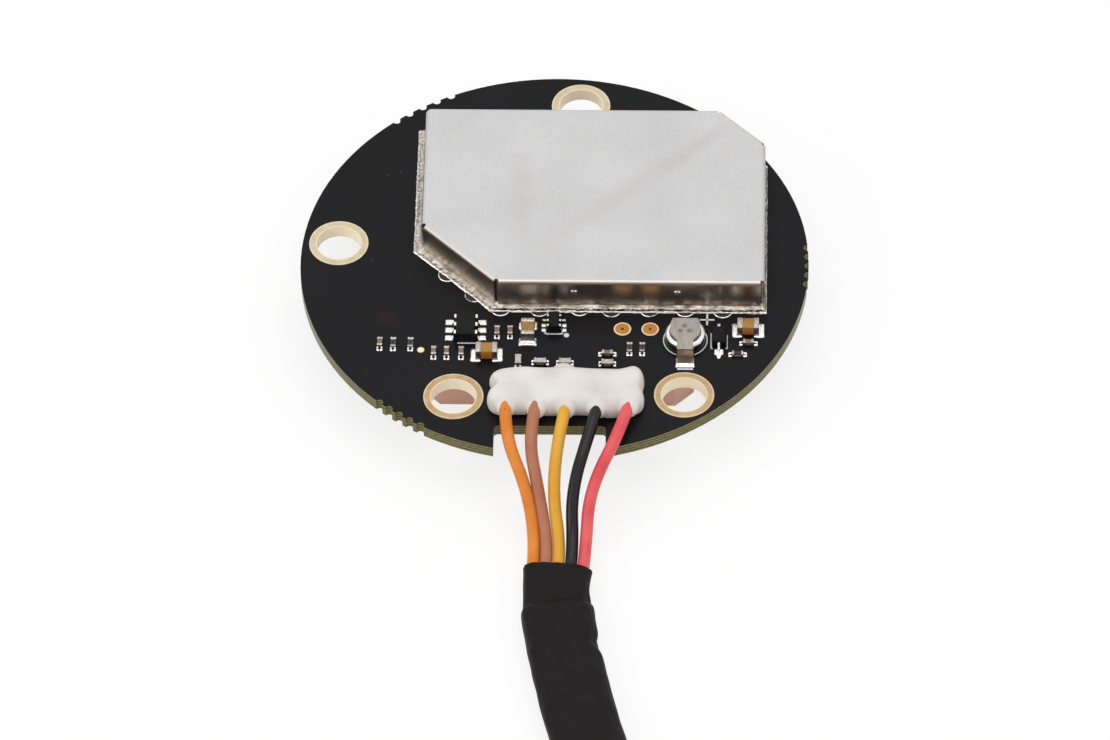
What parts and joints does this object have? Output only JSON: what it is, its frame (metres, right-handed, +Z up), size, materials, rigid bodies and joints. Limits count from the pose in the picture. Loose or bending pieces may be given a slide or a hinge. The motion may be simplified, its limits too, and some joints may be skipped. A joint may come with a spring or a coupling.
{
  "type": "gnss receiver board",
  "caption": "Round board-level satellite receiver: patch antenna below, folded lift-off shield can and backup cell above, mounting holes, and a potted multi-wire lead with sleeves and a plug.",
  "frame": {"origin": "centre of the round board's outline, on the plane of the patch antenna's face, which the receiver rests on", "axes": "+Z up through the board from the antenna's face to the shield can, -Y towards the notch that the wires leave through, +X to the right seen from above with the notch towards the viewer"},
  "size_m": [0.0744, 0.1023, 0.0089],
  "materials": {
    "soldermask_board": "black soldermask over glass laminate",
    "gold_plating": "thin gold on copper",
    "solder": "bright reflowed solder",
    "tinned_steel": "tinned sheet, satin",
    "antenna_ceramic": "matt tan ceramic",
    "silver_electrode": "matt fired silver",
    "foam_tape": "white adhesive pad",
    "capacitor_ceramic": "tan ceramic",
    "resistor_glaze": "black glaze",
    "filter_ceramic": "pale ceramic",
    "mould_compound": "black moulding compound",
    "cell_steel": "bright stainless sheet",
    "cell_gasket": "cream nylon",
    "white_silicone": "soft white silicone",
    "orange_insulation": "smooth orange insulation",
    "brown_insulation": "smooth brown insulation",
    "yellow_insulation": "smooth yellow insulation",
    "black_insulation": "smooth black insulation",
    "red_insulation": "smooth red insulation",
    "wire_copper": "tinned copper strands",
    "heat_shrink": "black shrunk sleeve, satin",
    "plug_plastic": "natural nylon",
    "contact_metal": "tinned phosphor bronze"
  },
  "bodies": {
    "board": {"antenna_adhesive_pad": "foam_tape", "antenna_ceramic": "antenna_ceramic", "antenna_feed_pin": "solder", "antenna_feed_solder": "solder", "antenna_ground_electrode": "silver_electrode", "antenna_patch_electrode": "silver_electrode", "backup_cell_bottom_strap": "cell_steel", "backup_cell_can": "cell_steel", "backup_cell_cap": "cell_steel", "backup_cell_gasket": "cell_gasket", "backup_cell_top_strap": "cell_steel", "band_filters": "mould_compound", "charging_diode_body": "mould_compound", "charging_diode_legs": "solder", "clock_crystal_base": "filter_ceramic", "clock_crystal_cap": "cell_steel", "component_solder": "solder", "gold_test_pads": "gold_plating", "inner_sleeve": "heat_shrink", "large_capacitor_bodies": "capacitor_ceramic", "large_capacitor_end_caps": "solder", "line_filter_bodies": "filter_ceramic", "line_filter_end_caps": "solder", "low_noise_amplifier": "mould_compound", "memory_chip": "mould_compound", "mounting_hole_platings": "gold_plating", "oscillator_base": "filter_ceramic", "oscillator_cap": "cell_steel", "outer_sleeve": "heat_shrink", "pcb_board": "soldermask_board", "plug_contacts": "contact_metal", "plug_housing": "plug_plastic", "radio_chip_body": "mould_compound", "radio_chip_terminals": "solder", "resistor_bodies": "resistor_glaze", "resistor_end_caps": "solder", "shield_frame": "tinned_steel", "shield_land_solder": "solder", "shield_solder_domes": "solder", "signal_buffer_body": "mould_compound", "signal_buffer_legs": "solder", "silicone_potting": "white_silicone", "small_capacitor_bodies": "capacitor_ceramic", "small_capacitor_end_caps": "solder", "voltage_regulator_body": "mould_compound", "voltage_regulator_legs": "solder", "wire_black": "black_insulation", "wire_brown": "brown_insulation", "wire_ends": "wire_copper", "wire_orange": "orange_insulation", "wire_red": "red_insulation", "wire_solder_joints": "solder", "wire_yellow": "yellow_insulation"},
    "lid": {"shield_lid": "tinned_steel"}
  },
  "joints": [
    {"name": "lid_lift", "type": "slide", "parent": "board", "child": "lid", "axis": [0, 0, 1], "range_m": [0, 0.008]}
  ]
}
